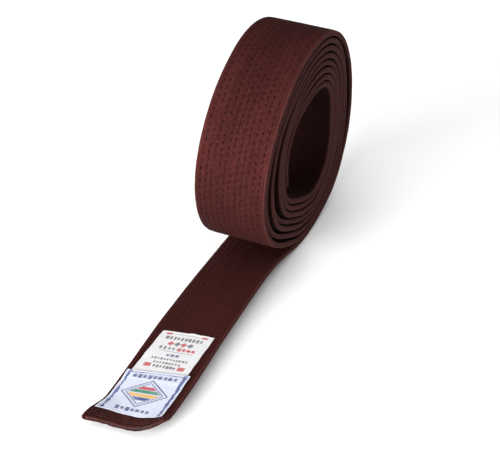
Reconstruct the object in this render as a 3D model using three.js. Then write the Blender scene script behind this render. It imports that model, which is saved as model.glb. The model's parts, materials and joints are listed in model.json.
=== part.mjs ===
// A judo-style martial arts belt. It is rolled up, the roll stands on its outermost layer, and the
// free end lies on the floor in front of it. Millimetres, +Z up. +X runs across the belt, along the
// roll's axis. The free end points along -Y. The origin is on the floor, under the middle of the roll.
import * as THREE from "three";

// Driving dimensions
const BELT_LENGTH = 2800;
const BELT_WIDTH = 45;
const BELT_THICKNESS = 4.3;
const LAYER_PITCH = 4.6; // from one layer of the roll to the next, where they are tight
const ROLL_RADIUS = 73.72; // of the roll's outer face, seen along its axis
const ROLL_STRETCH = 1.02; // the roll sags a little, so it is deeper than it is tall
const ROLL_TURNS = 7.75;
const STEPS_PER_TURN = 24;
const FOLD_REACH = 74; // from the middle of the roll to the line where the free end lifts
const GAP = 0.3; // between pieces that touch on the real belt

// Where the roll is loose: from the given turn inwards, the layers sit deeper round the given angle.
const SLACK = [
  { turn: 1, angle: -20, spread: 65, depth: 1.8 },
  { turn: 2, angle: -10, spread: 65, depth: 1.6 },
  { turn: 1, angle: 185, spread: 70, depth: 0.7 },
  { turn: 2, angle: 190, spread: 65, depth: 1.1 },
  { turn: 3, angle: 190, spread: 65, depth: 1.2 },
  { turn: 4, angle: 180, spread: 60, depth: 0.9 },
  { turn: 5, angle: 175, spread: 60, depth: 0.9 },
  { turn: 7, angle: 165, spread: 55, depth: 0.9 },
];

// Sewn layers
const COVER_WALL = 0.7;
const FOLD_CUT = 1.1; // the cover's rounded edges, as a chamfer
const PLY_COUNT = 3;
const HEM_LENGTH = 9; // of each closed end, where the cover is folded in

// Stitching
const STITCH_ROWS = 11;
const STITCH_SPACING = 3.7;
const THREAD_WIDTH = 0.6;
const THREAD_HEIGHT = 0.25;
const THREAD_CLEARANCE = 0.1; // between a thread and the fabric on either side of it
const CROSS_SEAMS = [3, 6]; // from the tip to each cross seam of the outer hem

// Labels on the free end, each placed by its edge nearest the roll
const LABEL_THICKNESS = 0.35;
const LABEL_SEAM_INSET = 1.2;
const SIZE_LABEL = { width: 34, length: 43, reach: 123, offset: 1.2 };
const EMBLEM_LABEL = { width: 39, length: 36, reach: 159, offset: -0.4 };

// Materials
const fabric = (color) => new THREE.MeshStandardMaterial({ color, roughness: 0.9, metalness: 0 });
const coverCotton = fabric("#57292a");
const coreCotton = fabric("#8a5a50");
const hemCotton = fabric("#4c2324");
const brownThread = fabric("#6d3734");
const whiteWeave = fabric("#e4e1dd");
const paleBlueWeave = fabric("#b9c3dc");
const whiteThread = fabric("#f2f2f0");

const belt = new THREE.Group();

function addPiece(name, geometry, material) {
  const mesh = new THREE.Mesh(geometry, material);
  mesh.name = name;
  belt.add(mesh);
}

// The belt's route. Each station has a point on the middle of the belt's thickness, and a normal
// towards the belt's inner face: up on the free end, and towards the roll's axis in the roll.

const degrees = THREE.MathUtils.degToRad;

// How much deeper than a tight spiral the layer sits, after some turns, at an angle round the roll.
function slackDepth(turns, angle) {
  let depth = 0;
  for (const slack of SLACK) {
    const offset = THREE.MathUtils.euclideanModulo(angle - slack.angle + 180, 360) - 180;
    const turnsThere = turns - offset / 360 - (slack.angle + 90) / 360;
    const reached = turnsThere > slack.turn - 0.5;
    if (reached && Math.abs(offset) < slack.spread) {
      depth += slack.depth * Math.cos((offset / slack.spread) * (Math.PI / 2)) ** 2;
    }
  }
  return depth;
}

// The spiral's corners. The first two lie on the floor, so that the roll has a flat to stand on.
function spiralPoints() {
  const halfStep = 180 / STEPS_PER_TURN;
  const firstRadius = ROLL_RADIUS - BELT_THICKNESS / 2;
  const axisHeight = BELT_THICKNESS / 2 + firstRadius * Math.cos(degrees(halfStep));
  const points = [];
  for (let step = 0; step <= ROLL_TURNS * STEPS_PER_TURN; step++) {
    const turns = Math.max(step - 1, 0) / STEPS_PER_TURN;
    const angle = (2 * step - 1) * halfStep - 90;
    const radius = firstRadius - LAYER_PITCH * turns - slackDepth(turns, angle);
    const across = ROLL_STRETCH * radius * Math.cos(degrees(angle));
    points.push(new THREE.Vector2(across, axisHeight + radius * Math.sin(degrees(angle))));
  }
  return points;
}

// Turns a list of points into stations, with each normal long enough to keep the strip's thickness
// round the corner.
function stationsAlong(points) {
  return points.map((point, i) => {
    const before = points[Math.max(i - 1, 0)];
    const after = points[Math.min(i + 1, points.length - 1)];
    const arriving = i > 0 ? point.clone().sub(before).normalize() : null;
    const leaving = i < points.length - 1 ? after.clone().sub(point).normalize() : null;
    const into = arriving ?? leaving;
    const away = leaving ?? arriving;
    const middle = into.clone().add(away).normalize();
    const stretch = 1 / middle.dot(into);
    return { point, normal: new THREE.Vector2(-middle.y, middle.x).multiplyScalar(stretch) };
  });
}

// A strip with the given section along the stations. The section's points are (across, above), with
// the outline anticlockwise and the hole, if it has one, clockwise.
function stripGeometry(stations, outline, hole = []) {
  const section = [...outline, ...hole];
  const positions = [];
  for (const { point, normal } of stations) {
    for (const { x, y } of section) {
      positions.push(x, point.x + normal.x * y, point.y + normal.y * y);
    }
  }
  const faces = [];
  const at = (station, corner) => station * section.length + corner;
  const rings = [
    { first: 0, count: outline.length },
    { first: outline.length, count: hole.length },
  ];
  for (let station = 0; station < stations.length - 1; station++) {
    for (const { first, count } of rings) {
      for (let corner = 0; corner < count; corner++) {
        const a = first + corner;
        const b = first + ((corner + 1) % count);
        faces.push(at(station, a), at(station + 1, a), at(station, b));
        faces.push(at(station, b), at(station + 1, a), at(station + 1, b));
      }
    }
  }
  const holes = hole.length ? [hole] : [];
  const last = stations.length - 1;
  for (const [a, b, c] of THREE.ShapeUtils.triangulateShape(outline, holes)) {
    faces.push(at(0, a), at(0, b), at(0, c));
    faces.push(at(last, a), at(last, c), at(last, b));
  }
  const geometry = new THREE.BufferGeometry();
  geometry.setAttribute("position", new THREE.Float32BufferAttribute(positions, 3));
  geometry.setIndex(faces);
  geometry.computeVertexNormals();
  return geometry;
}

// Sections

function rectangle(width, low, high, offset = 0) {
  const left = offset - width / 2;
  const right = offset + width / 2;
  return [
    new THREE.Vector2(left, low),
    new THREE.Vector2(right, low),
    new THREE.Vector2(right, high),
    new THREE.Vector2(left, high),
  ];
}

function beltOutline() {
  const side = BELT_WIDTH / 2;
  const face = BELT_THICKNESS / 2;
  const cut = FOLD_CUT;
  return [
    new THREE.Vector2(-side + cut, -face),
    new THREE.Vector2(side - cut, -face),
    new THREE.Vector2(side, -face + cut),
    new THREE.Vector2(side, face - cut),
    new THREE.Vector2(side - cut, face),
    new THREE.Vector2(-side + cut, face),
    new THREE.Vector2(-side, face - cut),
    new THREE.Vector2(-side, -face + cut),
  ];
}

// The room inside the cover.
const coreWidth = BELT_WIDTH - 2 * COVER_WALL;
const coreHeight = BELT_THICKNESS - 2 * COVER_WALL;
const coverHole = rectangle(coreWidth, -coreHeight / 2, coreHeight / 2).reverse();

// The cover and the plies inside it, along one stretch of the belt.
function addSewnLayers(name, stations) {
  addPiece(`${name}_cover`, stripGeometry(stations, beltOutline(), coverHole), coverCotton);
  const plyHeight = (coreHeight - (PLY_COUNT + 1) * GAP) / PLY_COUNT;
  for (let ply = 0; ply < PLY_COUNT; ply++) {
    const low = -coreHeight / 2 + GAP + ply * (plyHeight + GAP);
    const section = rectangle(coreWidth - 2 * GAP, low, low + plyHeight);
    addPiece(`${name}_core_ply_${ply + 1}`, stripGeometry(stations, section), coreCotton);
  }
}

// A flat box on the free end's upper face, from one reach to a further one.
function flatStations(nearReach, farReach) {
  const height = BELT_THICKNESS / 2;
  return stationsAlong([new THREE.Vector2(-farReach, height), new THREE.Vector2(-nearReach, height)]);
}

// Part of the route, from one length to another along it.
function routeBetween(points, start, end) {
  const inside = points.filter((_, i) => {
    const walked = lengthOf(points.slice(0, i + 1));
    return walked > start && walked < end;
  });
  return [pointAt(points, start), ...inside, pointAt(points, end)];
}

function pointAt(points, length) {
  let walked = 0;
  for (let i = 1; i < points.length; i++) {
    const step = points[i].distanceTo(points[i - 1]);
    if (walked + step >= length) {
      return points[i - 1].clone().lerp(points[i], (length - walked) / step);
    }
    walked += step;
  }
  return points.at(-1).clone();
}

function lengthOf(points) {
  return points.slice(1).reduce((sum, point, i) => sum + point.distanceTo(points[i]), 0);
}

// The roll, with the short run on the floor that leads into it

const spiral = spiralPoints();
const tailReach = BELT_LENGTH - lengthOf(spiral) - spiral[0].x; // from the roll's middle to the tip
const rollRoute = [new THREE.Vector2(-FOLD_REACH + GAP / 2, BELT_THICKNESS / 2), ...spiral];
const rollLength = lengthOf(rollRoute);
const hemStart = rollLength - HEM_LENGTH;
addSewnLayers("roll", stationsAlong(routeBetween(rollRoute, 0, hemStart - GAP)));

const innerHem = stationsAlong(routeBetween(rollRoute, hemStart, rollLength));
addPiece("inner_hem", stripGeometry(innerHem, beltOutline()), hemCotton);

const threadBase = BELT_THICKNESS / 2 + THREAD_CLEARANCE;
const threadTop = threadBase + THREAD_HEIGHT;
const seamStart = rollLength - CROSS_SEAMS[0] - THREAD_WIDTH;
const innerSeam = stationsAlong(routeBetween(rollRoute, seamStart, seamStart + THREAD_WIDTH));
const seamWidth = (STITCH_ROWS - 1) * STITCH_SPACING;
addPiece(
  "inner_hem_seam",
  stripGeometry(innerSeam, rectangle(seamWidth, threadBase, threadTop)),
  brownThread,
);

// The free end

const tailStart = FOLD_REACH + GAP / 2;
const tailHem = tailReach - HEM_LENGTH;
addSewnLayers("tail", flatStations(tailStart, tailHem - GAP));
addPiece("tip_hem", stripGeometry(flatStations(tailHem, tailReach), beltOutline()), hemCotton);

for (let row = 0; row < STITCH_ROWS; row++) {
  const offset = (row - (STITCH_ROWS - 1) / 2) * STITCH_SPACING;
  const section = rectangle(THREAD_WIDTH, threadBase, threadTop, offset);
  const number = String(row + 1).padStart(2, "0");
  const stations = flatStations(tailStart, tailHem - GAP);
  addPiece(`stitch_row_${number}`, stripGeometry(stations, section), brownThread);
}

CROSS_SEAMS.forEach((distance, i) => {
  const stations = flatStations(tailReach - distance - THREAD_WIDTH, tailReach - distance);
  const section = rectangle(seamWidth, threadBase, threadTop);
  addPiece(`tip_cross_seam_${i + 1}`, stripGeometry(stations, section), brownThread);
});

// A label, and the seam that runs round it just inside its edge, starting at a height above the
// middle of the belt. It returns the height that is free above the seam.
function addLabel(name, label, base, material) {
  const top = base + LABEL_THICKNESS;
  const stations = flatStations(label.reach, label.reach + label.length);
  const section = rectangle(label.width, base, top, label.offset);
  addPiece(name, stripGeometry(stations, section), material);

  const seamBase = top + THREAD_CLEARANCE;
  const ring = new THREE.Shape(ringOutline(label, LABEL_SEAM_INSET));
  ring.holes.push(new THREE.Path(ringOutline(label, LABEL_SEAM_INSET + THREAD_WIDTH)));
  const seam = new THREE.ExtrudeGeometry(ring, { depth: THREAD_HEIGHT, bevelEnabled: false });
  seam.translate(0, 0, BELT_THICKNESS / 2 + seamBase);
  addPiece(`${name}_seam`, seam, whiteThread);
  return seamBase + THREAD_HEIGHT + THREAD_CLEARANCE;
}

function ringOutline(label, inset) {
  const left = label.offset - label.width / 2 + inset;
  const right = label.offset + label.width / 2 - inset;
  const near = -label.reach - inset;
  const far = -label.reach - label.length + inset;
  return [
    new THREE.Vector2(left, far),
    new THREE.Vector2(right, far),
    new THREE.Vector2(right, near),
    new THREE.Vector2(left, near),
  ];
}

const overSizeLabel = addLabel("size_label", SIZE_LABEL, threadTop + THREAD_CLEARANCE, whiteWeave);
addLabel("emblem_label", EMBLEM_LABEL, overSizeLabel, paleBlueWeave);

export default belt;
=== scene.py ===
import json
import math

import bpy
import numpy as np
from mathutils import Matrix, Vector

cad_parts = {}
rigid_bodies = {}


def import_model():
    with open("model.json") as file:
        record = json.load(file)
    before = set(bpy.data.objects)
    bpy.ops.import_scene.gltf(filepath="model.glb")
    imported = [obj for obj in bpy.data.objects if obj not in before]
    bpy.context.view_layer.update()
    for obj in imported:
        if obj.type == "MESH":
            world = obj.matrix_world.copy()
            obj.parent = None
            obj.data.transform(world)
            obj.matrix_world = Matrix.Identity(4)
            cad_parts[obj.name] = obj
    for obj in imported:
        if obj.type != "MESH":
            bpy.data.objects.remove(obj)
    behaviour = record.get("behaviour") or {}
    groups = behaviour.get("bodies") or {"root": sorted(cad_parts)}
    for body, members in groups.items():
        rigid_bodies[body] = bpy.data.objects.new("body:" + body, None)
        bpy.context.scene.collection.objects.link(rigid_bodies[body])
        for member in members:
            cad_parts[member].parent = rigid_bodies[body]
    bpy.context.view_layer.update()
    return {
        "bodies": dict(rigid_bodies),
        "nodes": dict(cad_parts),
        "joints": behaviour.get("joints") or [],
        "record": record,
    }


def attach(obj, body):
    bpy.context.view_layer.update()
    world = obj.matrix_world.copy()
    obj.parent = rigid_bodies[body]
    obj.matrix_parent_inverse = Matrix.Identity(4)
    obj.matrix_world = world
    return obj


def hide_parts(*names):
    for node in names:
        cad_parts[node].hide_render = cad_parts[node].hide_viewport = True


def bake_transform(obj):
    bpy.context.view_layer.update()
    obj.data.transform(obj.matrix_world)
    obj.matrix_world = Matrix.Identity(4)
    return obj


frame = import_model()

# A rolled martial arts belt with its free end on the floor. The code works in millimetres, in the
# CAD frame, and meshes are made in metres. Every piece is laid out on the belt itself, by
#   x  across the belt, from its middle,
#   s  along the belt, from the tip of the free end,
#   h  above the middle of its thickness, towards the inner face (up, on the free end),
# and place() carries those to the belt's route.

MM = 0.001

# ---------------------------------------------------------------- the belt's route
# It follows the CAD's route, with a tighter pitch and with gaps where the real roll is loose.
BELT_WIDTH = 45.0
BELT_THICKNESS = 4.0
LAYER_PITCH = 4.06
ROLL_RADIUS = 73.72
ROLL_STRETCH = 1.02
ROLL_TURNS = 7.83
HALF_STEP = 7.5                 # half the angle, in degrees, of the flat that the roll stands on
TAIL_REACH = 203.9              # from under the middle of the roll to the tip
ROUTE_STEP = 0.3
ANGLE_STEP = 0.25               # degrees
SMOOTHING_REACH, SMOOTHING_SPREAD = 24, 8.0     # of the route's corners, in route steps
# Where the roll is loose: from a turn inwards, the layers sit deeper round an angle. Each entry is
# (turn, angle, spread, mm), with the angles in degrees.
SLACK = [
    (1, -15, 85, 2.9), (2, -20, 80, 2.5),
    (1, -112, 42, 1.7), (2, -118, 40, 1.4), (3, -90, 50, 0.8), (4, -88, 50, 0.8), (5, -88, 50, 0.8),
    (6, -90, 50, 0.8), (7, -90, 50, 0.6),
    (1, 188, 75, 0.9), (2, 192, 70, 2.0), (3, 182, 60, 1.0), (4, 188, 65, 2.0),
    (5, 180, 60, 1.1), (6, 168, 55, 1.9),
    (1, 92, 60, 0.6), (2, 95, 60, 0.9), (3, 92, 60, 0.8), (4, 95, 60, 0.9), (5, 92, 60, 0.8),
    (6, 95, 60, 0.9), (7, 92, 60, 0.7),
]
# Where a single layer stands out of line across the roll: (turn, angle, spread, mm).
WANDER = [
    (1, 190, 80, -0.9), (2, 185, 85, 0.5), (3, 190, 90, -2.4), (4, 186, 85, 0.3), (5, 188, 85, -0.4),
    (6, 184, 90, -2.3), (7, 190, 80, -2.0), (1, 20, 70, -1.0), (2, 10, 75, 0.3), (4, 60, 70, -0.6),
    (5, -70, 60, 0.5), (3, -60, 60, -0.5), (6, 90, 50, 0.4),
]
SIDE = BELT_WIDTH / 2
FACE = BELT_THICKNESS / 2
INNER, OUTER = 1, -1            # the belt's two faces

# ---------------------------------------------------------------- stitching
ROWS = 11
ROW_SPACING = 3.7
STITCH = 4.3                    # from one needle hole to the next along a row
HEM_LENGTH = 8.0


def smooth(t):
    t = np.clip(t, 0, 1)
    return t * t * (3 - 2 * t)


def slack_depth(turns, angle):
    """How much deeper than a tight spiral the layer sits."""
    depth = np.zeros_like(angle)
    for turn, centre, spread, amount in SLACK:
        offset = (angle - centre + 180) % 360 - 180
        turns_there = turns - offset / 360 - (centre + 90) / 360
        hit = (turns_there > turn - 0.5) & (np.abs(offset) < spread)
        depth += np.where(hit, amount * np.cos(offset / spread * np.pi / 2) ** 2, 0)
    return depth


# How the soft roll has settled: the change of its outline, as shares of SETTLE_RADIUS about its
# centre, with harmonics of the angle round the roll.
SETTLE_RADIUS, SETTLE_CENTRE = 72.0, 72.0
SETTLE_REACH = 60               # the length of belt over which the settling sets in
SETTLE = {"cos2": -0.019, "sin2": -0.041, "cos3": -0.025, "sin3": -0.009}


def settled(y, z, length):
    """The route's points, moved out or in so that every layer keeps its distance from the next."""
    angle = np.arctan2(z - SETTLE_CENTRE, y)
    grow = SETTLE["cos2"] * np.cos(2 * angle) + SETTLE["sin2"] * np.sin(2 * angle)
    grow = grow + SETTLE["cos3"] * np.cos(3 * angle) + SETTLE["sin3"] * np.sin(3 * angle)
    begun = smooth((length - TAIL_REACH) / SETTLE_REACH)
    grow = grow * SETTLE_RADIUS * begun
    height = z + grow * np.sin(angle)
    drop = height[length > TAIL_REACH].min() - FACE
    return y + grow * np.cos(angle), np.maximum(height - drop * begun, FACE)


def smoothed(values):
    """A run of values with its corners smoothed and its ends kept in line."""
    reach = np.arange(-SMOOTHING_REACH, SMOOTHING_REACH + 1)
    kernel = np.exp(-(reach / SMOOTHING_SPREAD) ** 2)
    kernel /= kernel.sum()
    head = 2 * values[0] - values[SMOOTHING_REACH:0:-1]
    tail = 2 * values[-1] - values[-2:-SMOOTHING_REACH - 2:-1]
    return np.convolve(np.concatenate([head, values, tail]), kernel, "valid")


def make_route():
    """The middle of the belt from the tip inwards, as (length along, y, z, normal y, normal z, turns)."""
    first = ROLL_RADIUS - FACE
    chord = math.cos(math.radians(HALF_STEP))
    axis = FACE + first * chord
    end = -90 - HALF_STEP + ROLL_TURNS * 360
    angle = np.arange(-90, end, ANGLE_STEP)
    turns = np.maximum((angle + 90 - HALF_STEP) / 360, 0)
    below = (angle + 90 + 180) % 360 - 180
    slope = np.radians(np.clip(below, -80, 80))
    flat = first * np.maximum(0, 1 - chord / np.cos(slope))
    flat = np.where(np.abs(below) < HALF_STEP, flat, 0)
    radius = first - LAYER_PITCH * turns - slack_depth(turns, angle) - flat
    y = ROLL_STRETCH * radius * np.cos(np.radians(angle))
    z = axis + radius * np.sin(np.radians(angle))
    tail_y = np.arange(-TAIL_REACH, 0, ROUTE_STEP)
    y, z = np.concatenate([tail_y, y]), np.concatenate([np.full_like(tail_y, FACE), z])
    length = np.concatenate([[0], np.cumsum(np.hypot(np.diff(y), np.diff(z)))])
    y, z = settled(y, z, length)
    length = np.concatenate([[0], np.cumsum(np.hypot(np.diff(y), np.diff(z)))])
    turned = np.concatenate([np.zeros_like(tail_y), (angle + 90) / 360])
    even = np.arange(0, length[-1], ROUTE_STEP)
    turned = np.interp(even, length, turned)
    y, z = np.interp(even, length, y), np.interp(even, length, z)
    y, z = smoothed(y), smoothed(z)
    length = np.concatenate([[0], np.cumsum(np.hypot(np.diff(y), np.diff(z)))])
    dy, dz = np.gradient(y, length), np.gradient(z, length)
    size = np.hypot(dy, dz)
    return length, y, z, -dz / size, dy / size, turned


ROUTE = make_route()
END = ROUTE[0][-1]


NOISE_CELLS = 64                # the noise repeats after this many cells


def noise(u, v, seed):
    """Smooth value noise from -1 to 1 with a grid of 1, the same on every run."""
    table = np.random.default_rng(seed).uniform(-1, 1, (NOISE_CELLS, NOISE_CELLS))
    u, v = np.asarray(u, float), np.asarray(v, float)
    u, v = np.broadcast_arrays(u, v)
    iu, iv = np.floor(u).astype(int), np.floor(v).astype(int)
    fu, fv = smooth(u - iu), smooth(v - iv)
    a, b = iu % NOISE_CELLS, iv % NOISE_CELLS
    c, d = (a + 1) % NOISE_CELLS, (b + 1) % NOISE_CELLS
    low = table[a, b] * (1 - fu) + table[c, b] * fu
    high = table[a, d] * (1 - fu) + table[c, d] * fu
    return low * (1 - fv) + high * fv


# How the belt lies: the roll's lean, and the free end's sideways shift and twist, as (s, mm).
LEAN = 0.035                    # mm sideways for each mm up
LEAN_FROM, LEAN_REACH = 200, 60
SWAY = [(0, 0.1), (40, -0.1), (90, -2.1), (130, -2.2), (200, -0.7), (250, 0)]
TWIST = [(0, 7.4), (40, 7.4), (100, 7.4), (160, 9.5), (198, 0), (240, 0)]
# The corners of the tip curl up, and are drawn in or out along the belt.
TIP_REACH, TIP_ROUND_REACH = 22.0, 14
TIP_LIFT_LEFT, TIP_LIFT_RIGHT = 5.0, 3.0
TIP_ROUND_LEFT, TIP_ROUND_RIGHT = -3.6, 11.0
TIP_FLARE = 1.5                 # the left corner also spreads sideways


def along(table, s):
    """A smooth curve through a table of (s, value)."""
    knots, values = np.array(table, float).T
    total = 0
    shifts = (-12, -6, 0, 6, 12)
    for shift in shifts:
        total = total + np.interp(np.asarray(s, float) + shift, knots, values)
    return total / len(shifts)


def wander(turns):
    """How far a layer stands out of line across the roll, in mm."""
    offset = 0
    for turn, angle, spread, amount in WANDER:
        away = 360 * (turns - turn - (angle + 90) / 360)
        offset = offset + amount * np.cos(np.clip(away / spread, -1, 1) * np.pi / 2) ** 2
    return offset


def place(x, s, h):
    """Points of the belt in the CAD frame, in mm."""
    x, s, h = np.broadcast_arrays(*(np.asarray(a, float) for a in (x, s, h)))
    at = np.clip(s, 0, END)
    y, z, ny, nz, turns = (np.interp(at, ROUTE[0], column) for column in ROUTE[1:])
    over = s - at
    y = y + ny * h + over * nz
    z = z + nz * h - over * ny
    lean = LEAN * np.maximum(z - BELT_THICKNESS, 0) * smooth((s - LEAN_FROM) / LEAN_REACH)
    out_x = x + along(SWAY, s) + wander(turns) + lean
    side = x / SIDE
    tip = smooth(1 - s / TIP_REACH)
    lift_right, lift_left = TIP_LIFT_RIGHT * np.abs(side) ** 2.2, TIP_LIFT_LEFT * np.abs(side) ** 1.5
    lift = np.where(side > 0, lift_right, lift_left)
    z = z + tip * lift + along(TWIST, s) * (x + SIDE) / BELT_WIDTH
    round_off = np.where(side > 0, TIP_ROUND_RIGHT, TIP_ROUND_LEFT) * np.abs(side) ** 3
    y = y + smooth(1 - s / TIP_ROUND_REACH) * round_off
    out_x = out_x - np.where(side < 0, TIP_FLARE, 0) * tip * np.abs(side) ** 3
    return np.stack([out_x, y, z], -1)


def place_grid(grid):
    """The placed points of a grid of (x, s, h), as one list of rows."""
    return place(grid[..., 0], grid[..., 1], grid[..., 2]).reshape(-1, 3)


# ---------------------------------------------------------------- mesh helpers
def new_mesh(name, points, faces, strip=None, colours=None):
    """A mesh object from points in mm. For the materials, strip holds each point's (x, s, h) on the
    belt, and colours the colour of the thread there."""
    mesh = bpy.data.meshes.new(name)
    mesh.from_pydata((np.asarray(points, float) * MM).tolist(), [], [list(f) for f in faces])
    mesh.validate()
    mesh.shade_smooth()
    if strip is not None:
        layer = mesh.attributes.new("strip", "FLOAT_VECTOR", "POINT")
        layer.data.foreach_set("vector", np.asarray(strip, np.float32).ravel())
    if colours is not None:
        layer = mesh.attributes.new("thread", "FLOAT_COLOR", "POINT")
        layer.data.foreach_set("color", np.asarray(colours, np.float32).ravel())
    made = bpy.data.objects.new(name, mesh)
    bpy.context.scene.collection.objects.link(made)
    return made


def loft_faces(stations, ring):
    """Quads between rings of points, with the ends closed. Rings run clockwise seen from the tip."""
    i, j = np.meshgrid(np.arange(stations - 1), np.arange(ring), indexing="ij")
    k = (j + 1) % ring
    corners = [i * ring + j, i * ring + k, (i + 1) * ring + k, (i + 1) * ring + j]
    quads = np.stack(corners, -1).reshape(-1, 4)
    first = list(range(ring))[::-1]
    last = list(range((stations - 1) * ring, stations * ring))
    return [*quads.tolist(), first, last]


# ---------------------------------------------------------------- the belt's surface
ROW_STAGGER = 0.37              # from row to row, as a share of a stitch
ROW_SHIFT = np.arange(ROWS) * ROW_STAGGER
VALLEY, DIMPLE = 0.13, 0.60     # the depth of a stitched line, and of each needle hole's pucker


def nearest_row(x):
    """The stitch row nearest to x, counted from the middle one."""
    return np.clip(np.round(np.asarray(x) / ROW_SPACING), -(ROWS // 2), ROWS // 2).astype(int)


def needle_offset(x, s):
    """How far a point is along the belt from the nearest needle hole of its row."""
    shift = ROW_SHIFT[nearest_row(x) + ROWS // 2]
    k = s / STITCH + shift
    return (k - np.round(k)) * STITCH


def flatter(s):
    """How much the quilting is pressed flat on the roll's outside, from 0 to 1."""
    top, below = np.exp(-((s - 425) / 45) ** 2), np.exp(-((s - 640) / 40) ** 2)
    return 0.62 * top + 0.35 * below


def relief(x, s, face):
    """How far the quilted fabric stands above the belt's flat face (below it where negative)."""
    row = nearest_row(x)
    dx = x - row * ROW_SPACING
    ds = needle_offset(x, s)
    ridge = np.where(face == INNER, 1 - smooth((s - 150) / 60), 0)      # the free end's upper face
    valley = VALLEY * (1 + 0.25 * noise(s / 37 + 7 * face, row * 1.7, 11))
    valley = valley * (1 + ridge * (0.7 * smooth((-x - 4) / 8) - 0.35))
    uneven = np.maximum(1 + 1.1 * noise(s / 5 + 5 * face, row * 2.3, 12), 0.1)
    dimple = DIMPLE * uneven * (1 - 0.85 * ridge)
    dimple = dimple * (1 - (face == OUTER) * flatter(s)) * (1 - 0.5 * smooth((s - 520) / 60))
    high = 0.05 + 0.06 * noise(x / 9, s / 14 + 31 * face, 13)
    high = high + 0.05 * noise(x / 3.1, s / 5.5 + 17 * face, 14)
    edge = 0.16 * smooth((np.abs(x) - 18.2) / 3)
    lines = valley * np.exp(-(dx / 0.62) ** 2)
    puckers = dimple * np.exp(-(dx / 0.72) ** 2 - (ds / 1.0) ** 2)
    return high - edge - lines - puckers


FLAT_HALF = 20.31               # half the width of the flat faces; the folded edges are outside it
COLUMNS, COLUMN_STEP = 31, 0.655        # of the flat faces, to each side of the middle
EDGE_STEPS = 7
EDGE_SQUARENESS = 3.2           # the power of the edge's superellipse; 2 would be round


def belt_ring():
    """The section's points as (x, h, weight of the relief, face), from -X along the inner face."""
    columns = np.arange(-COLUMNS, COLUMNS + 1) * COLUMN_STEP
    turn = np.linspace(math.pi / 2, -math.pi / 2, EDGE_STEPS + 2)[1:-1]
    power = 2 / EDGE_SQUARENESS
    edge_x = FLAT_HALF + (SIDE - FLAT_HALF) * np.abs(np.cos(turn)) ** power
    edge_h = FACE * np.sign(np.sin(turn)) * np.abs(np.sin(turn)) ** power
    inner = [(x, FACE, 1.0, INNER) for x in columns]
    right = [(x, h, abs(h) / FACE, np.sign(h) or INNER) for x, h in zip(edge_x, edge_h)]
    outer = [(x, -FACE, 1.0, OUTER) for x in columns[::-1]]
    left = [(-x, h, abs(h) / FACE, np.sign(h) or INNER) for x, h in zip(edge_x[::-1], edge_h[::-1])]
    return np.array(inner + right + outer + left)


RING = belt_ring()


def steps_between(start, end, step):
    return np.linspace(start, end, max(2, int(round((end - start) / step)) + 1))


FINE_END = 740                  # the belt can be seen closely up to here, and again on its last turn
LAST_TURN = END - 260
FINE, COARSE, MEDIUM = 0.9, 3.5, 1.2    # steps along the belt


def belt_stations():
    """Where the cover's sections are; each hem takes over just before the cover's own end."""
    parts = [
        steps_between(HEM_LENGTH - 0.3, FINE_END, FINE)[:-1],
        steps_between(FINE_END, LAST_TURN, COARSE)[:-1],
        steps_between(LAST_TURN, END - HEM_LENGTH + 0.3, MEDIUM),
    ]
    return np.concatenate(parts)


def belt_points(s):
    """The belt's skin at stations s, as (x, s, h) rows."""
    s = s[:, None]
    x, h, weight, face = (a[None, :] for a in RING.T)
    width = 1 + 0.010 * noise(s / 23, 0.5 + 0 * s, 21) + 0.004 * noise(s / 6, 0.5 + 0 * s, 22)
    x_now = x * width
    thick = 1 - 0.03 * (1 + noise(s / 31, 3.5 + 0 * s, 23))
    h_now = h * thick + weight * face * relief(x, s, face)
    return np.stack([x_now, s + 0 * x, h_now], -1)


def skin(name, s):
    grid = belt_points(s)
    return new_mesh(name, place_grid(grid), loft_faces(len(s), len(RING)), grid.reshape(-1, 3))


cover = skin("belt_cover", belt_stations())


# ---------------------------------------------------------------- hems
# Each hem's rings from the middle of the belt to its end, over the lip and into the slot between
# the folded layers: (distance from the end, inset across, inset in height).
HEM_LIP = [(0.9, 0, 0), (0.45, 0.06, 0.05), (0.12, 0.3, 0.22), (0.0, 0.7, 0.5), (0.1, 1.0, 0.72),
           (0.5, 1.25, 0.85), (1.7, 1.4, 0.9)]
CROSS_ROWS = [1.9, 3.6, 5.3, 6.9]       # from the end to each row of cross stitching


def cross_valley(x, distance):
    """The grooves that the cross stitching pulls into a hem."""
    zigzag = 0.45 * (2 * np.abs((x / 1.9) % 1 - 0.5) - 0.5)
    depth = 0
    for row in CROSS_ROWS:
        depth = depth + 0.26 * np.exp(-((distance - row - zigzag) / 0.42) ** 2)
    return depth


def hem(name, end, inward):
    """A folded hem at s = end; inward is the direction along s away from that end."""
    flat = [(d, 0, 0) for d in np.arange(HEM_LENGTH + 0.2, 1.2, -0.3)]
    profile = flat + HEM_LIP
    if inward > 0:
        profile = profile[::-1]
    x, h, weight, face = (a[None, :] for a in RING.T)
    distance, inset_x, inset_h = (np.array(column)[:, None] for column in zip(*profile))
    s = end + inward * distance
    swell = 0.12 + 0.10 * noise(s / 2.2, x / 3.5, 31) + 0.07 * noise(s / 0.9, x / 1.1, 32)
    lift = swell - cross_valley(x, distance) - 0.25 * smooth(1 - distance / 3)
    scallop = 0.16 * np.sin(2 * np.pi * s / 2.1 + np.sign(x)) * smooth(distance / 2)
    x_now = x * (SIDE + 0.1 + scallop - inset_x) / SIDE
    h_now = h * (FACE - inset_h) / FACE + weight * face * lift
    ragged = 0.25 * noise(x / 2.6, face + 0 * s, 33)
    s_now = s + inward * ragged * smooth(1 - distance / 2) + 0 * x
    grid = np.stack(np.broadcast_arrays(x_now, s_now, h_now), -1)
    faces = loft_faces(len(profile), len(RING))
    return new_mesh(name, place_grid(grid), faces, grid.reshape(-1, 3))


tip_hem = hem("belt_tip_hem", 0.0, 1)
inner_hem = hem("belt_inner_hem", END, -1)


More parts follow.
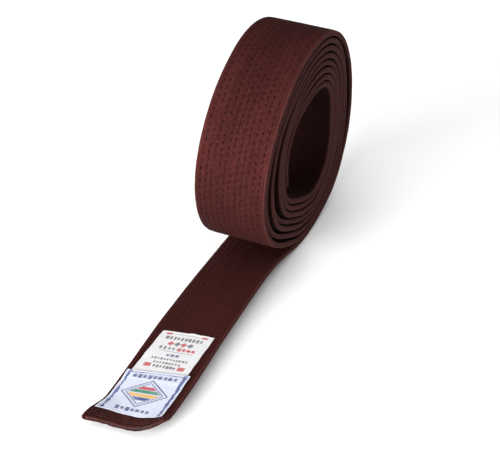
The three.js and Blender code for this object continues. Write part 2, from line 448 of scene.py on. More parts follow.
# ---------------------------------------------------------------- core plies
PLIES = [-0.72, 0.0, 0.72]      # the height of each above the middle
PLY_HALF_WIDTH, PLY_HALF_HEIGHT = 20.8, 0.28


def ply(name, height, seed):
    """One strip of the core, with ragged cut ends."""
    s = np.concatenate([
        steps_between(0.25, 3, 0.4)[:-1],
        steps_between(3, END - 3, 3.2)[:-1],
        steps_between(END - 3, END - 0.25, 0.4),
    ])
    across = np.linspace(-PLY_HALF_WIDTH, PLY_HALF_WIDTH, 28)
    ring = [(x, PLY_HALF_HEIGHT) for x in across] + [(x, -PLY_HALF_HEIGHT) for x in across[::-1]]
    x, h = np.array(ring).T
    s = s[:, None]
    wave = 0.1 * noise(x / 2.5, s / 9, seed)
    ragged = 0.22 * noise(x / 1.3, 0.5 + 0 * s, seed + 1) * (smooth(1 - s / 2) - smooth(1 - (END - s) / 2))
    grid = np.stack(np.broadcast_arrays(x + 0 * s, s + ragged, height + h + wave), -1)
    return new_mesh(name, place_grid(grid), loft_faces(len(s), len(ring)), grid.reshape(-1, 3))


plies = [ply(f"belt_core_ply_{i + 1}", height, 41 + 3 * i) for i, height in enumerate(PLIES)]


# ---------------------------------------------------------------- threads
THREAD_SIDES = 6


def threads(segments, height, face, radius=0.17, sink=0.28):
    """Short lengths of thread on a surface, as rings of (x, s, h) points. Each thread runs from (x, s)
    to (x, s), its ends sink into the surface, and height(x, s) is the surface's own height."""
    segments = np.asarray(segments, float)
    start, end = segments[:, None, None, :2], segments[:, None, None, 2:]
    t = np.array([0, 0.16, 0.5, 0.84, 1.0])[None, :, None, None]
    fat = np.array([0.55, 0.95, 1.0, 0.95, 0.55])[None, :, None]
    deep = np.array([1.0, 0.25, 0.0, 0.25, 1.0])[None, :, None]
    turn = -2 * np.pi * np.arange(THREAD_SIDES) / THREAD_SIDES
    run = (end - start) / np.linalg.norm(end - start, axis=-1, keepdims=True)
    middle = start + (end - start) * t
    out = radius * fat * np.cos(turn)[None, None, :]
    up = 0.8 * radius * fat * np.sin(turn)[None, None, :]
    x = middle[..., 0] + out * run[..., 1]
    s = middle[..., 1] - out * run[..., 0]
    base = height(middle[..., 0], middle[..., 1])
    h = face * (base - 0.25 * radius - sink * deep) + up
    return np.stack(np.broadcast_arrays(x, s, h), -1)


def thread_mesh(name, groups):
    """One mesh from several sets of threads."""
    points, faces, offset = [], [], 0
    for group in groups:
        count, rings, sides, _ = group.shape
        points.append(group.reshape(-1, 3))
        *quads, first, last = loft_faces(rings, sides)
        size = rings * sides
        shifts = offset + size * np.arange(count)
        faces += (np.array(quads)[None] + shifts[:, None, None]).reshape(-1, 4).tolist()
        for cap in (first, last):
            faces += (np.array(cap)[None] + shifts[:, None]).tolist()
        offset += count * size
    strip = np.concatenate(points)
    return new_mesh(name, place(*strip.T), faces, strip)


def face_height(face):
    """The height of one face of the cover, for its threads."""
    return lambda x, s: FACE + relief(x, s, face)


def row_segments(row, start, end):
    """The stitches of one row between two places along the belt."""
    x = (row - ROWS // 2) * ROW_SPACING
    first = math.ceil(start / STITCH + ROW_SHIFT[row])
    last = math.floor(end / STITCH + ROW_SHIFT[row])
    holes = (np.arange(first, last + 1) - ROW_SHIFT[row]) * STITCH
    return [(x, a + 0.3, x, b - 0.3) for a, b in zip(holes[:-1], holes[1:])]


# The stretches of each face that can be seen, as (face, start, end).
VISIBLE = [(OUTER, HEM_LENGTH, 1130), (INNER, HEM_LENGTH, 205), (INNER, END - 300, END - HEM_LENGTH)]
stitch_rows = []
for row in range(ROWS):
    groups = []
    for face, start, end in VISIBLE:
        groups.append(threads(row_segments(row, start, end), face_height(face), face))
    stitch_rows.append(thread_mesh(f"belt_stitch_row_{row + 1:02d}", groups))


def zigzag(centre, left, right, pitch, half):
    """Zigzag stitches across the belt at s = centre."""
    count = int((right - left) / pitch)
    x = np.linspace(left, right, count + 1)
    s = centre + half * (-1.0) ** np.arange(count + 1)
    return [(x[i], s[i], x[i + 1], s[i + 1]) for i in range(count)]


def hem_height(end, inward):
    """The height of a hem's surface, for its threads."""
    def height(x, s):
        distance = (s - end) * inward
        return FACE + 0.14 - cross_valley(x, distance) - 0.25 * smooth(1 - distance / 3)

    return height


def cross_seam(name, rows, end, inward):
    """Rows of zigzag stitching across a hem, on both its faces."""
    groups = []
    for distance in rows:
        segments = zigzag(end + inward * distance, -20.6, 20.6, 1.35, 0.55)
        for face in (INNER, OUTER):
            groups.append(threads(segments, hem_height(end, inward), face, radius=0.24, sink=0.1))
    return thread_mesh(name, groups)


cross_seams = [
    cross_seam("belt_tip_cross_seam_1", CROSS_ROWS[:2], 0.0, 1),
    cross_seam("belt_tip_cross_seam_2", CROSS_ROWS[2:], 0.0, 1),
    cross_seam("belt_inner_hem_seam", CROSS_ROWS, END, -1),
]


# ---------------------------------------------------------------- labels
# Each label lies on the free end's upper face. Its own coordinates are a, from its left edge, and b,
# from the edge nearest the roll towards the tip.
# x and s place the middle of the edge nearest the roll. lean is the sideways slope of the label's sides,
# skew turns its cross lines, warp turns them more at one end, and flare widens the label towards the tip.
SIZE_LABEL = {"width": 34.0, "length": 43.0, "x": 1.3, "s": 82.0, "skew": 0.005, "flare": 0.02,
              "lean": -0.055, "warp": 0.0}
EMBLEM_LABEL = {"width": 38.6, "length": 37.2, "x": -0.7, "s": 44.7, "skew": 0.035, "flare": 0.0,
                "lean": 0.0, "warp": 0.05}
LABEL_THICKNESS = 0.32
CELL = 0.36                     # of the label's mesh, and so of its woven marks
SEAM_GAP = 0.07                 # at each end of a label's stitch, as a share of it

WHITE = (0.585, 0.58, 0.59)
GREY = (0.085, 0.085, 0.095)
RED = (0.40, 0.016, 0.020)
PALE = (0.52, 0.54, 0.625)
NAVY = (0.022, 0.035, 0.16)
GREEN = (0.01, 0.17, 0.075)
GOLD = (0.62, 0.33, 0.02)
SLATE = (0.06, 0.065, 0.15)


def on_belt(label, a, b):
    """Label coordinates to (x, s)."""
    wide = 1 + label["flare"] * (b / label["length"] - 0.5)
    x = label["x"] + (a - label["width"] / 2) * wide + label["lean"] * b
    skew = label["skew"] + label["warp"] * (1 - 2 * b / label["length"])
    s = label["s"] - b + skew * (a - label["width"] / 2)
    return x, s


def size_rest(x, s):
    """The height the size label's under side rests at."""
    return FACE + 0.04 + 0.10 * noise(x / 6, s / 9, 51) + 0.04 * noise(x / 2.2, s / 3.1, 52)


def emblem_rest(x, s):
    """The height the emblem label's under side rests at; it laps over the size label."""
    over = smooth((s - (SIZE_LABEL["s"] - SIZE_LABEL["length"]) + 3.5) / 4)
    return FACE + 0.08 + 0.40 * over + 0.09 * noise(x / 5, s / 7, 53) + 0.04 * noise(x / 2, s / 2.7, 54)


def label_mesh(name, label, rest, motif, seed):
    """A label with wavy edges, its threads' colours held point by point."""
    width, length = label["width"], label["length"]
    columns, lines = int(width / CELL) + 1, int(length / CELL) + 1
    a, b = np.meshgrid(np.linspace(0, width, columns), np.linspace(0, length, lines), indexing="ij")
    colours = motif(a, b)
    near_a, near_b = np.minimum(a, width - a), np.minimum(b, length - b)
    side = np.where(a < width / 2, -1, 1) * smooth(1 - near_a / 3)
    line = np.where(b < length / 2, -1, 1) * smooth(1 - near_b / 3)
    still = np.full_like(a, 0.5)
    wave_a = 0.38 * noise(b / 4.5, still, seed) + 0.10 * noise(b / 1.2, still, seed + 1)
    wave_b = 0.42 * noise(a / 4.0, still, seed + 2) + 0.12 * noise(a / 1.1, still, seed + 3)
    x, s = on_belt(label, a + side * wave_a, b + line * wave_b)
    edge = np.minimum(near_a, near_b)
    curl = 0.28 * smooth(1 - edge / 1.3) * (0.5 + 0.5 * noise(a / 5, b / 5, seed + 4))
    pulled = 0.10 * np.exp(-((edge - 1.25) / 0.5) ** 2)
    low = rest(x, s) + curl - pulled
    rounding = 0.10 * smooth(1 - edge / 0.5)
    top = np.stack([x, s, low + LABEL_THICKNESS - rounding], -1)
    bottom = np.stack([x, s, low + rounding * 0.5], -1)
    strip = np.concatenate([top.reshape(-1, 3), bottom.reshape(-1, 3)])
    i, j = np.meshgrid(np.arange(columns - 1), np.arange(lines - 1), indexing="ij")
    corner = i * lines + j
    upper = np.stack([corner, corner + 1, corner + lines + 1, corner + lines], -1).reshape(-1, 4)
    lower = upper[:, ::-1] + columns * lines
    rim = list(range(lines)) + [c * lines + lines - 1 for c in range(1, columns)]
    rim += [(columns - 1) * lines + r for r in range(lines - 2, -1, -1)]
    rim += [c * lines for c in range(columns - 2, 0, -1)]
    under = columns * lines
    around = [(q, p, p + under, q + under) for p, q in zip(rim, rim[1:] + rim[:1])]
    faces = upper.tolist() + lower.tolist() + around
    colour = np.concatenate([colours.reshape(-1, 3)] * 2)
    colour = np.concatenate([colour, np.ones((len(colour), 1))], 1)
    return new_mesh(name, place(*strip.T), faces, strip, colour)


def bars(a, b, centre_a, centre_b, count, pitch, width, height, seed):
    """A row of short woven bars of uneven height, which stands for a line of small print."""
    k = np.round((a - centre_a) / pitch + (count - 1) / 2)
    inside = (k >= 0) & (k < count)
    k = np.clip(k, 0, count - 1).astype(int)
    draw = np.random.default_rng(seed)
    tall = height * draw.uniform(0.65, 1.0, count)[k]
    wide = width * draw.uniform(0.7, 1.15, count)[k]
    middle = centre_a + (k - (count - 1) / 2) * pitch
    return inside & (np.abs(a - middle) < wide / 2) & (np.abs(b - centre_b) < tall / 2)


def box_mask(a, b, centre_a, centre_b, width, height):
    return (np.abs(a - centre_a) < width / 2) & (np.abs(b - centre_b) < height / 2)


def diamond(a, b, centre_a, centre_b, half_width, half_height):
    """0 at the centre of a lozenge and 1 on its outline."""
    return np.abs(a - centre_a) / half_width + np.abs(b - centre_b) / half_height


def paint(colours, mask, colour):
    colours[mask] = colour


def size_motif(a, b):
    """Generic woven marks: dashed lines, a row of lozenges and four red corner blocks."""
    colours = np.empty(a.shape + (3,))
    colours[:] = WHITE
    middle = SIZE_LABEL["width"] / 2
    for side in (-1, 1):
        paint(colours, box_mask(a, b, middle + side * 11.6, 2.3, 4.0, 1.8), RED)
        paint(colours, box_mask(a, b, middle + side * 10.8, 31.4, 4.4, 3.3), RED)
    paint(colours, bars(a, b, middle, 2.2, 14, 1.25, 0.8, 0.6, 61), GREY)
    paint(colours, bars(a, b, middle, 6.0, 10, 2.45, 1.8, 3.2, 62), GREY)
    for k in range(4):
        mark = diamond(a, b, middle + (k - 1.5) * 4.2, 10.8, 2.1, 2.2)
        paint(colours, mark < 1, RED if k % 2 == 0 else GREY)
    paint(colours, bars(a, b, middle - 6.4, 15.3, 4, 2.8, 1.8, 2.9, 63), GREY)
    paint(colours, bars(a, b, middle + 5.9, 15.3, 4, 2.9, 2.3, 3.1, 64), RED)
    paint(colours, box_mask(a, b, middle + 1.0, 18.0, 20, 0.4), GREY)
    paint(colours, bars(a, b, middle, 21.2, 3, 3.0, 2.1, 2.7, 65), SLATE)
    paint(colours, bars(a, b, middle, 25.0, 12, 1.95, 1.5, 1.9, 66), GREY)
    paint(colours, bars(a, b, middle, 28.3, 9, 1.95, 1.5, 1.9, 67), GREY)
    paint(colours, bars(a, b, middle, 31.7, 7, 2.1, 1.6, 2.5, 68), GREY)
    return colours


def emblem_motif(a, b):
    """A generic woven badge: a double lozenge frame with four coloured bars, and ragged borders."""
    colours = np.empty(a.shape + (3,))
    colours[:] = PALE
    width, length = EMBLEM_LABEL["width"], EMBLEM_LABEL["length"]
    middle, centre = width / 2, length / 2
    for side in (-1, 1):
        ragged = 0.35 * noise(b / 1.6, 0.5 + 0 * b, 71 + side)
        unbroken = noise(b / 2.7, 0.5 + 0 * b, 73 + side) > -0.97
        half = 0.80 + 0.34 * noise(b / 2.4, 0 * b, 75 + side)
        edge_bar = np.abs(a - (middle + side * (middle - 2.3)) - ragged) < half
        paint(colours, edge_bar & unbroken & (np.abs(b - centre) < centre - 0.5), NAVY)
    top_line = np.abs(b - 1.5 - 0.2 * noise(a / 1.8, 0 * a, 77)) < 0.26
    paint(colours, top_line & (np.abs(a - middle) < middle - 3), NAVY)
    paint(colours, bars(a, b, middle, 4.7, 9, 3.1, 2.3, 3.2, 78), SLATE)
    paint(colours, bars(a, b, middle, length - 4.4, 7, 3.1, 2.3, 3.2, 79), SLATE)
    frame = diamond(a, b, middle, centre, 14.6, 11.6)
    paint(colours, np.abs(frame - 0.97) < 0.045, SLATE)
    paint(colours, np.abs(frame - 0.78) < 0.035, SLATE)
    for k, colour in enumerate((RED, GREEN, GOLD, NAVY)):
        row_b = centre + (k - 1.5) * 3.1
        inside = diamond(a, b, middle, centre, 10.2, 8.2) < 1.0
        paint(colours, inside & (np.abs(b - row_b) < 1.25), colour)
    return colours


size_label = label_mesh("woven_size_label", SIZE_LABEL, size_rest, size_motif, 81)
emblem_label = label_mesh("woven_emblem_label", EMBLEM_LABEL, emblem_rest, emblem_motif, 91)


def label_seam(name, label, rest, inset, pitch, zigzag_ends):
    """The thread that sews a label down, just inside its edge."""
    width, length = label["width"], label["length"]
    left, right, near, far = inset, width - inset, inset, length - inset
    corners = [(left, near), (right, near), (right, far), (left, far), (left, near)]
    segments = []
    for (a0, b0), (a1, b1) in zip(corners[:-1], corners[1:]):
        count = int(round(math.hypot(a1 - a0, b1 - b0) / pitch))
        t = np.linspace(0, 1, count + 1)
        a, b = a0 + (a1 - a0) * t, b0 + (b1 - b0) * t
        if zigzag_ends and b0 == b1:
            b = b + 0.55 * (-1.0) ** np.arange(count + 1)
        x, s = on_belt(label, a, b)
        for i in range(count):
            dx, ds = (x[i + 1] - x[i]) * SEAM_GAP, (s[i + 1] - s[i]) * SEAM_GAP
            segments.append((x[i] + dx, s[i] + ds, x[i + 1] - dx, s[i + 1] - ds))

    def top(x, s):
        return rest(x, s) + LABEL_THICKNESS - 0.08

    return thread_mesh(name, [threads(segments, top, INNER, radius=0.17, sink=0.15)])


size_seam = label_seam("woven_size_label_seam", SIZE_LABEL, size_rest, 1.25, 2.3, False)
emblem_seam = label_seam("woven_emblem_label_seam", EMBLEM_LABEL, emblem_rest, 1.25, 1.7, True)


# ---------------------------------------------------------------- materials
class Graph:
    """A material's node tree, with its nodes made by short calls."""

    def __init__(self, name):
        self.material = bpy.data.materials.new(name)
        self.material.use_nodes = True
        self.tree = self.material.node_tree
        self.shader = self.tree.nodes["Principled BSDF"]

    def link(self, value, socket):
        if isinstance(value, bpy.types.NodeSocket):
            self.tree.links.new(value, socket)
        else:
            socket.default_value = value

    def set(self, **inputs):
        for name, value in inputs.items():
            self.link(value, self.shader.inputs[name.replace("_", " ")])

    def math(self, operation, *values):
        node = self.tree.nodes.new("ShaderNodeMath")
        node.operation = operation
        for value, socket in zip(values, node.inputs):
            self.link(value, socket)
        return node.outputs[0]

    def step(self, value, low, high):
        """0 below low, 1 above high, smooth between; the other way round if low is above high."""
        node = self.tree.nodes.new("ShaderNodeMapRange")
        node.interpolation_type = "SMOOTHSTEP"
        self.link(value, node.inputs["Value"])
        down = low > high
        node.inputs["From Min"].default_value = min(low, high)
        node.inputs["From Max"].default_value = max(low, high)
        node.inputs["To Min"].default_value = 1.0 if down else 0.0
        node.inputs["To Max"].default_value = 0.0 if down else 1.0
        return node.outputs[0]

    def mix(self, factor, first, second):
        node = self.tree.nodes.new("ShaderNodeMix")
        node.data_type = "RGBA"
        node.clamp_factor = True
        self.link(factor, node.inputs["Factor"])
        colours = [i for i in node.inputs if i.type == "RGBA"]
        for value, socket in zip((first, second), colours):
            self.link(value if isinstance(value, bpy.types.NodeSocket) else (*value, 1.0), socket)
        return [o for o in node.outputs if o.type == "RGBA"][0]

    def tint(self, base, mask, share, colour):
        """base, turned to another colour by a share of the mask."""
        return self.mix(self.math("MULTIPLY", mask, share), base, colour)

    def attribute(self, name, output):
        node = self.tree.nodes.new("ShaderNodeAttribute")
        node.attribute_name = name
        return node.outputs[output]

    def split(self, vector):
        node = self.tree.nodes.new("ShaderNodeSeparateXYZ")
        self.link(vector, node.inputs[0])
        return node.outputs[0], node.outputs[1], node.outputs[2]

    def join(self, x, y, z):
        node = self.tree.nodes.new("ShaderNodeCombineXYZ")
        for value, socket in zip((x, y, z), node.inputs):
            self.link(value, socket)
        return node.outputs[0]

    def stretch(self, values, scales):
        """A vector of the values, each times its scale."""
        return self.join(*(self.math("MULTIPLY", value, scale) for value, scale in zip(values, scales)))

    def noise(self, vector, scale, detail=2.0, roughness=0.5):
        node = self.tree.nodes.new("ShaderNodeTexNoise")
        self.link(vector, node.inputs["Vector"])
        node.inputs["Scale"].default_value = scale
        node.inputs["Detail"].default_value = detail
        node.inputs["Roughness"].default_value = roughness
        return node.outputs[0]

    def bump(self, height, distance, strength=1.0, normal=None):
        node = self.tree.nodes.new("ShaderNodeBump")
        node.inputs["Strength"].default_value = strength
        node.inputs["Distance"].default_value = distance
        self.link(height, node.inputs["Height"])
        if normal is not None:
            self.link(normal, node.inputs["Normal"])
        return node.outputs[0]

    def wave(self, value, period):
        """A sine from 0 to 1 along a coordinate."""
        turned = self.math("MULTIPLY", value, 2 * math.pi / period)
        return self.math("MULTIPLY_ADD", self.math("SINE", turned), 0.5, 0.5)


def scaled(colour, share):
    return tuple(share * part for part in colour)


DARK_BROWN = (0.033, 0.0066, 0.0058)
MID_BROWN = (0.058, 0.0122, 0.0106)
WORN_AND_HIGHLIGHT_BROWN = (0.150, 0.054, 0.050)
# Places along the belt, in mm from the tip.
PAINTED_LIGHT_AT, PAINTED_LIGHT_REACH = 510.0, 46.0     # where the painted light on the belt's outside is brightest
SHADED_FRONT_LOW = (510.0, 560.0)                   # where painted shade darkens it again, down the front of the roll
INNER_FACE_HIDDEN = (205.0, 260.0)      # where the roll starts to cover each face, and covers it wholly
OUTER_FACE_HIDDEN = (655.0, 690.0)
# Heights that tell the faces apart.
TO_INNER, TO_OUTER = (0.2, 1.4), (-0.2, -1.4)


def needle_holes(g, strip, x, s, h):
    """Painted shade in the stitched lines' grooves and in the uneven puckers round their needle holes."""
    row = g.math("ROUND", g.math("MULTIPLY", x, 1 / ROW_SPACING))
    row = g.math("MINIMUM", g.math("MAXIMUM", row, -(ROWS // 2)), ROWS // 2)
    across = g.math("SUBTRACT", x, g.math("MULTIPLY", row, ROW_SPACING))
    groove = g.step(g.math("ABSOLUTE", across), 0.95, 0.10)
    from_first = g.math("ADD", row, float(ROWS // 2))
    stitches = g.math("MULTIPLY_ADD", from_first, ROW_STAGGER, g.math("DIVIDE", s, STITCH))
    beyond = g.math("MULTIPLY", g.math("SUBTRACT", stitches, g.math("ROUND", stitches)), STITCH)
    jitter = g.math("SUBTRACT", g.noise(strip, 0.30, 1.0), 0.5)
    across = g.math("MULTIPLY_ADD", jitter, 1.5, across)
    jitter = g.math("SUBTRACT", g.noise(g.join(s, x, h), 0.24, 1.0), 0.5)
    beyond = g.math("MULTIPLY_ADD", jitter, 3.0, beyond)
    away = g.math("SQRT", g.math("ADD", g.math("POWER", g.math("DIVIDE", across, 0.75), 2.0),
                                 g.math("POWER", g.math("DIVIDE", beyond, 1.15), 2.0)))
    hole = g.math("MULTIPLY", g.step(away, 1.25, 0.35), g.step(g.noise(strip, 0.21, 3.0, 0.6), 0.32, 0.54))
    laid_out = g.math("MULTIPLY", g.step(h, *TO_INNER), g.step(s, 215.0, 150.0))
    return groove, g.math("MULTIPLY", hole, g.math("MULTIPLY_ADD", laid_out, -0.6, 1.0))


def belt_cotton(name, dark, light, wear_and_highlight, holes=True, rough=0.0, rolled_shade=0.95):
    """Brown drill cotton, quilted: weave, lengthwise streaks, needle holes with painted shade, lint and
    rubbed folds with a painted highlight along their corners. What is rolled up inside gets painted shade,
    darker than the outside and the folded edges; the outside gets painted light at the front of the roll
    and painted shade above and below it."""
    g = Graph(name)
    strip = g.attribute("strip", "Vector")
    parts = x, s, h = g.split(strip)
    shadow = scaled(dark, 0.45)

    # dye: broad clouds, streaks along the belt, grain, speckles and lint
    broad = g.noise(g.stretch(parts, (0.06, 0.012, 0.3)), 1.0, 3.0)
    streak = g.noise(g.stretch(parts, (0.9, 0.012, 1.0)), 1.0, 2.0, 0.6)
    grain = g.noise(strip, 1.9, 3.0, 0.7)
    tone = g.math("ADD", g.math("MULTIPLY", broad, 0.35), g.math("MULTIPLY", streak, 0.35))
    tone = g.math("ADD", tone, g.math("MULTIPLY", grain, 0.30))
    base = g.mix(g.step(tone, 0.40, 0.60), dark, light)
    speckle = g.noise(strip, 0.95, 2.0, 0.75)
    base = g.tint(base, g.step(speckle, 0.53, 0.66), 0.50, scaled(light, 1.9))
    base = g.tint(base, g.step(speckle, 0.47, 0.34), 0.60, shadow)
    base = g.tint(base, g.step(g.noise(strip, 1.5, 1.0, 0.5), 0.69, 0.77), 0.75, wear_and_highlight)
    hairs = g.noise(g.stretch(parts, (2.6, 0.016, 1.0)), 1.0, 1.0, 0.5)
    broken = g.step(g.noise(g.stretch(parts, (1.0, 0.14, 1.0)), 1.0, 1.0, 0.5), 0.46, 0.60)
    base = g.tint(base, g.math("MULTIPLY", g.step(hairs, 0.66, 0.72), broken), 0.40, wear_and_highlight)

    # painted light and wear: painted light at the front of the roll with painted shade above and below it,
    # painted shade where it is rolled up, pale rubbed folds with a painted highlight along their corners
    outside = g.step(h, 0.5, -0.5)
    facing = g.math("DIVIDE", g.math("SUBTRACT", s, PAINTED_LIGHT_AT), PAINTED_LIGHT_REACH)
    painted_light = g.math("EXPONENT", g.math("MULTIPLY", g.math("MULTIPLY", facing, facing), -1.0))
    painted_light = g.math("MULTIPLY", painted_light, outside)
    # painted shade on the outside away from the front of the roll, which leaves painted light where it
    # faces the lamp
    base = g.tint(base, g.math("SUBTRACT", 1.0, painted_light), 0.44, shadow)
    # painted shade down the lower front of the roll
    base = g.tint(base, g.math("MULTIPLY", g.step(s, *SHADED_FRONT_LOW), outside), 0.30, shadow)
    # painted shade on the faces that are rolled up inside the roll
    inside = g.math("MAXIMUM", g.math("MULTIPLY", g.step(h, *TO_INNER), g.step(s, *INNER_FACE_HIDDEN)),
                    g.math("MULTIPLY", g.step(h, *TO_OUTER), g.step(s, *OUTER_FACE_HIDDEN)))
    base = g.tint(base, inside, rolled_shade, scaled(dark, 0.22))
    # pale rubbed folds, and along each corner a pale line that is partly wear and partly a painted
    # highlight
    from_middle = g.math("ABSOLUTE", x)
    corner = g.math("MULTIPLY", g.step(from_middle, 21.5, 22.1), g.step(g.math("ABSOLUTE", h), 1.0, 1.45))
    base = g.tint(base, g.step(from_middle, 20.9, 22.2), 0.20, wear_and_highlight)
    base = g.tint(base, corner, 0.22, wear_and_highlight)

    # weave
    weave = g.math("MULTIPLY", g.wave(g.math("ADD", s, g.math("MULTIPLY", x, 0.5)), 0.62), g.wave(x, 0.55))
    base = g.tint(base, g.math("SUBTRACT", 1.0, weave), 0.22, shadow)
    # painted shade in the stitched grooves and round the needle holes
    if holes:
        groove, hole = needle_holes(g, strip, x, s, h)
        base = g.tint(base, groove, 0.06, scaled(dark, 0.40))
        base = g.tint(base, hole, 0.74, scaled(dark, 0.2))
    g.set(Base_Color=base, Roughness=g.math("MULTIPLY_ADD", grain, 0.12, 0.80 + rough),
          Specular_IOR_Level=0.06, Sheen_Weight=0.03, Sheen_Roughness=0.55, Sheen_Tint=(*wear_and_highlight, 1.0))
    fibre = g.noise(g.stretch(parts, (5.0, 1.4, 1.0)), 1.0, 2.0, 0.6)
    height = g.math("ADD", g.math("MULTIPLY", weave, 0.5), g.math("MULTIPLY", fibre, 0.6))
    fine = g.bump(height, 0.00016, 0.75)
    g.set(Normal=g.bump(grain, 0.00035, 0.5 + rough, fine))
    return g.material


def thread_material(name, dark, light, sheen=0.3, rolled=False):
    """Twisted sewing thread: fine diagonal plies. The labels' and hems' thread has a slight gloss; the
    thread that is rolled up with the belt is matt, and gets painted shade inside the roll."""
    g = Graph(name)
    strip = g.attribute("strip", "Vector")
    x, s, h = g.split(strip)
    twist_line = g.wave(g.math("ADD", g.math("MULTIPLY", x, 1.4), g.math("ADD", s, h)), 0.42)
    base = g.mix(g.step(g.noise(strip, 0.35, 2.0), 0.35, 0.65), dark, light)
    base = g.tint(base, twist_line, 0.35, scaled(dark, 0.6))
    roughness, gloss = 0.62, 0.3
    if rolled:
        roughness, gloss = 0.85, 0.06
        # painted shade on the thread that is rolled up inside the roll
        inside = g.math("MULTIPLY", g.step(h, *TO_INNER), g.step(s, *INNER_FACE_HIDDEN))
        inside = g.math("MAXIMUM", inside, g.step(s, *OUTER_FACE_HIDDEN))
        base = g.tint(base, inside, 0.85, scaled(dark, 0.25))
    g.set(Base_Color=base, Roughness=roughness, Specular_IOR_Level=gloss, Sheen_Weight=sheen)
    g.set(Normal=g.bump(twist_line, 0.00008, 0.8))
    return g.material


def label_material(name, shade):
    """Woven label: satin ribs with coloured threads, which the mesh holds point by point."""
    g = Graph(name)
    strip = g.attribute("strip", "Vector")
    x, s, _ = g.split(strip)
    ribs = g.wave(s, 0.42)
    cross = g.wave(g.math("ADD", x, g.math("MULTIPLY", s, 0.33)), 0.5)
    cloud = g.noise(strip, 0.22, 3.0)
    base = g.tint(g.attribute("thread", "Color"), g.step(cloud, 0.70, 0.35), 0.16, shade)
    base = g.tint(base, g.math("MULTIPLY", ribs, cross), 0.12, shade)
    g.set(Base_Color=base, Roughness=0.55, Specular_IOR_Level=0.35, Sheen_Weight=0.25, Sheen_Roughness=0.4)
    g.set(Normal=g.bump(g.math("ADD", ribs, cross), 0.00009, 0.7))
    return g.material


def ply_material(name):
    """The core strips: dark reddish cotton with loose fibres."""
    g = Graph(name)
    layer = g.noise(g.stretch(g.split(g.attribute("strip", "Vector")), (1.2, 1.0, 6.0)), 1.0, 3.0, 0.7)
    base = g.mix(g.step(layer, 0.38, 0.62), (0.026, 0.0062, 0.0050), (0.085, 0.023, 0.018))
    g.set(Base_Color=base, Roughness=0.9, Specular_IOR_Level=0.1, Sheen_Weight=0.05)
    g.set(Normal=g.bump(layer, 0.0003, 0.8))
    return g.material


HEM_BROWNS = ((0.022, 0.0048, 0.0040), (0.060, 0.0145, 0.0115), (0.11, 0.034, 0.028))
THREAD_BROWNS = ((0.026, 0.0050, 0.0044), (0.056, 0.0125, 0.0110))
HEM_THREAD_BROWNS = ((0.030, 0.0070, 0.0060), (0.068, 0.018, 0.015))
cover_cotton = belt_cotton("cover_cotton", DARK_BROWN, MID_BROWN, WORN_AND_HIGHLIGHT_BROWN)
hem_cotton = belt_cotton("hem_cotton", *HEM_BROWNS, holes=False, rough=0.08, rolled_shade=0.0)
brown_thread = thread_material("brown_thread", *THREAD_BROWNS, sheen=0.0, rolled=True)
hem_thread = thread_material("hem_thread", *HEM_THREAD_BROWNS, sheen=0.0)
white_thread = thread_material("white_thread", (0.55, 0.54, 0.53), (0.78, 0.77, 0.75))
blue_thread = thread_material("blue_thread", (0.33, 0.37, 0.52), (0.55, 0.60, 0.76))
size_weave = label_material("size_weave", (0.55, 0.54, 0.55))
emblem_weave = label_material("emblem_weave", (0.38, 0.43, 0.62))
core_cotton = ply_material("core_cotton")


def dress(obj, material):
    obj.data.materials.append(material)


dress(cover, cover_cotton)
dress(tip_hem, hem_cotton)
dress(inner_hem, hem_cotton)
for piece in plies:
    dress(piece, core_cotton)
for piece in stitch_rows:
    dress(piece, brown_thread)
for piece in cross_seams:
    dress(piece, hem_thread)
dress(size_label, size_weave)
dress(emblem_label, emblem_weave)
dress(size_seam, white_thread)
dress(emblem_seam, blue_thread)

for piece in [cover, *plies, *stitch_rows]:
    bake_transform(piece)
for piece in [tip_hem, size_label, emblem_label, size_seam, emblem_seam, *cross_seams[:2]]:
    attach(piece, "free_end")
for piece in [inner_hem, cross_seams[2]]:
    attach(piece, "roll")

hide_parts("roll_cover", "tail_cover")
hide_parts("tip_hem")
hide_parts("inner_hem")
for i, piece in enumerate(plies):
    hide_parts(f"roll_core_ply_{i + 1}", f"tail_core_ply_{i + 1}")
for row, piece in enumerate(stitch_rows):
    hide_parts(f"stitch_row_{row + 1:02d}")
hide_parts("tip_cross_seam_1")
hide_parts("tip_cross_seam_2")
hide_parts("inner_hem_seam")
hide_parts("size_label")
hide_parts("emblem_label")
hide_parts("size_label_seam")
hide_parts("emblem_label_seam")


# ---------------------------------------------------------------- stage, light and camera
FLOOR_SIZE, FLOOR_DROP = 12, 0.0002     # metres; the floor lies just under the belt


def floor_material():
    g = Graph("pale_floor")
    coordinate = g.tree.nodes.new("ShaderNodeTexCoord").outputs["Object"]
    cloud = g.noise(coordinate, 3.0, 2.0)
    base = g.mix(cloud, (0.90, 0.90, 0.90), (0.93, 0.93, 0.93))
    g.set(Base_Color=base, Roughness=0.9, Specular_IOR_Level=0.1)
    return g.material


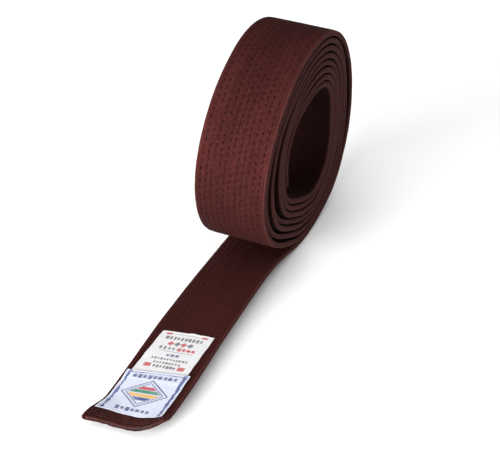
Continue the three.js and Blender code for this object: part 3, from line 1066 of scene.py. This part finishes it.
bpy.ops.mesh.primitive_plane_add(size=FLOOR_SIZE, location=(0, 0, -FLOOR_DROP))
floor = bpy.context.object
floor.name = "floor"
floor.data.materials.append(floor_material())


def area_light(name, position, target, size, power):
    """A white rectangular light, its size in metres and its power in watts."""
    light = bpy.data.lights.new(name, "AREA")
    light.shape = "RECTANGLE"
    light.size, light.size_y = size
    light.energy = power
    made = bpy.data.objects.new(name, light)
    bpy.context.scene.collection.objects.link(made)
    made.location = position
    made.rotation_euler = (Vector(target) - Vector(position)).to_track_quat("-Z", "Y").to_euler()


area_light("key", position=(-0.45, -1.55, 0.50), target=(0, -0.05, 0.06), size=(1.3, 0.8), power=58)
area_light("overhead", position=(0.0, 0.2, 1.9), target=(0, -0.05, 0), size=(2.4, 2.4), power=26)
area_light("fill", position=(1.5, -0.7, 0.9), target=(0, -0.05, 0.05), size=(1.0, 1.0), power=5)

ROOM_LIGHT = 0.38
world = bpy.data.worlds.new("studio")
bpy.context.scene.world = world
world.use_nodes = True
background = world.node_tree.nodes["Background"]
background.inputs["Color"].default_value = (1.0, 1.0, 1.0, 1.0)
background.inputs["Strength"].default_value = ROOM_LIGHT
bpy.context.scene.view_settings.view_transform = "Standard"

SENSOR_WIDTH, LENS = 36, 100.116        # mm
CAMERA_PLACE = (287.3, -671.8, 538.6)   # mm
CAMERA_PITCH, CAMERA_YAW = 36.11, 24.34     # degrees below the horizontal, and to the left of +Y

camera_data = bpy.data.cameras.new("camera")
camera = bpy.data.objects.new("camera", camera_data)
bpy.context.scene.collection.objects.link(camera)
bpy.context.scene.camera = camera
camera_data.sensor_width = SENSOR_WIDTH
camera_data.lens = LENS
camera_data.clip_start, camera_data.clip_end = 0.01, 20
camera.location = [c * MM for c in CAMERA_PLACE]
pitch, yaw = math.radians(CAMERA_PITCH), math.radians(CAMERA_YAW)
forward = Vector((-math.sin(yaw) * math.cos(pitch), math.cos(yaw) * math.cos(pitch), -math.sin(pitch)))
camera.rotation_euler = forward.to_track_quat("-Z", "Y").to_euler()
